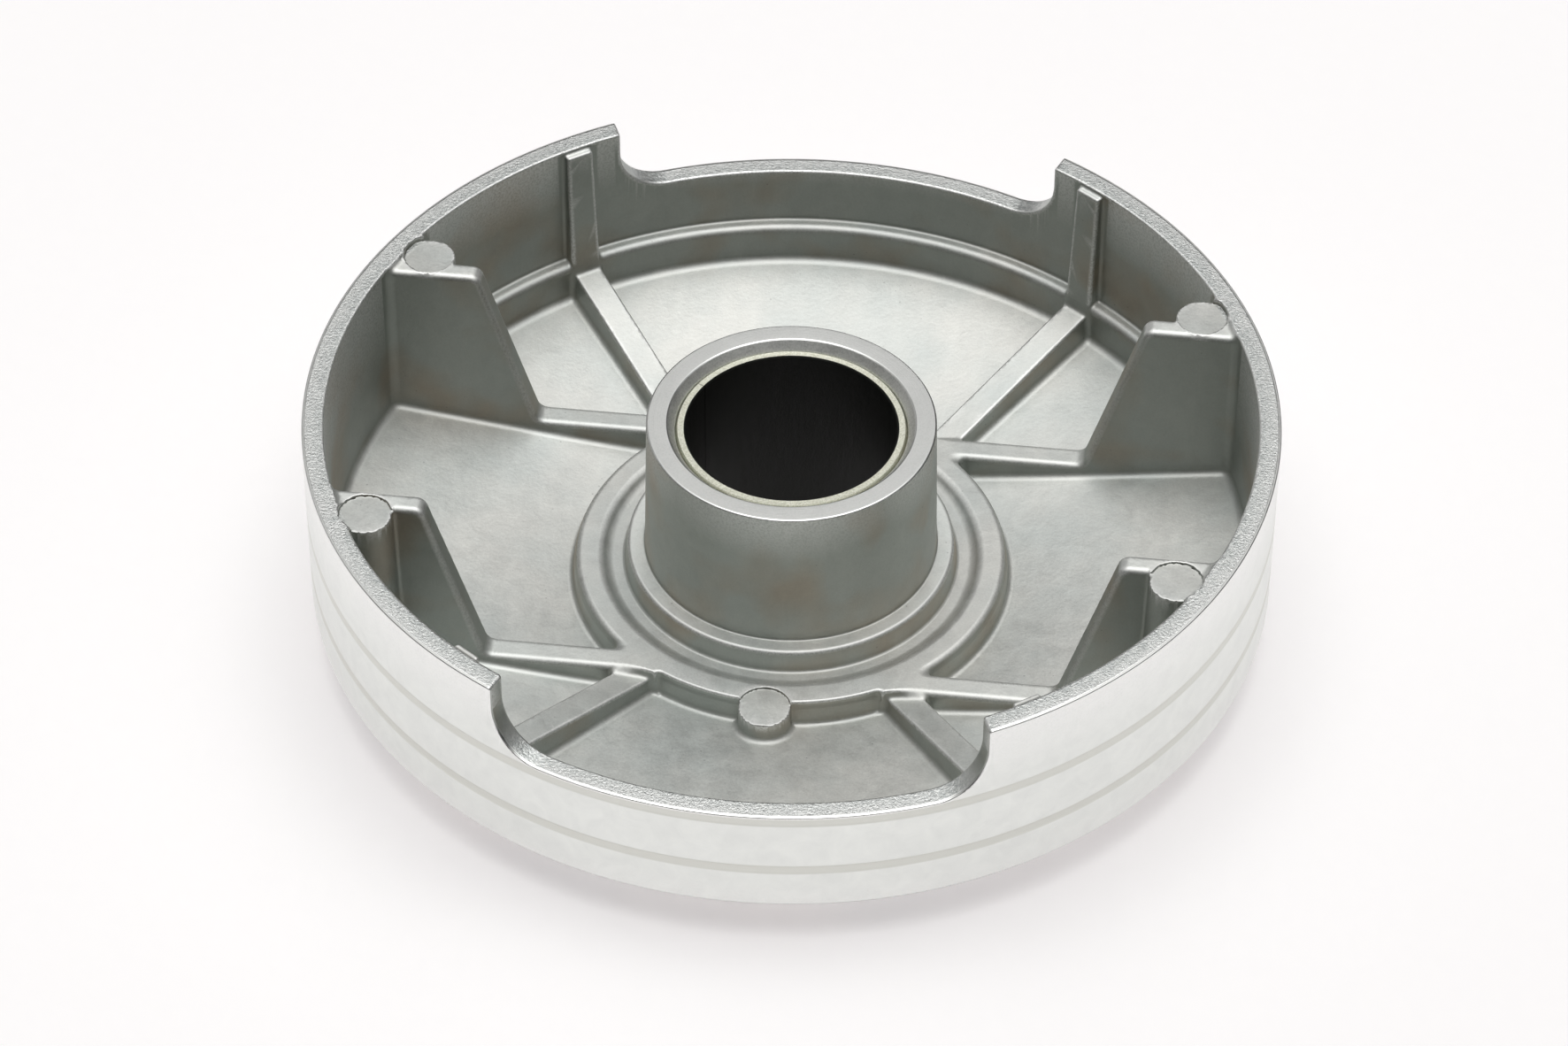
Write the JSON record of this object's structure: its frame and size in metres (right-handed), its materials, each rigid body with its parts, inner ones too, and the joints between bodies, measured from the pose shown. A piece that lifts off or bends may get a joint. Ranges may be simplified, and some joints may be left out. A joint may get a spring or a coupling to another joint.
{
  "type": "flywheel",
  "caption": "Die-cast aluminium flywheel drum with a tall bushed hub, gusset ribs, floor ribs and two rim windows; turns on a plain shaft.",
  "frame": {"origin": "on the spin axis, in the plane of the hub's lower face, which is also the lowest point", "axes": "+Z runs along the spin axis towards the open side of the drum; the two rim windows face +Y and -Y, and the gussets stand parallel to X"},
  "size_m": [0.184, 0.184, 0.046],
  "materials": {
    "cast_aluminium": "satin, blasted casting with a turned rim",
    "bush_metal": "dull, tinned strip",
    "bush_lining": "matt sliding layer"
  },
  "bodies": {
    "root": {"flywheel_casting": "cast_aluminium", "bush_backing": "bush_metal", "bush_lining": "bush_lining"}
  },
  "joints": []
}
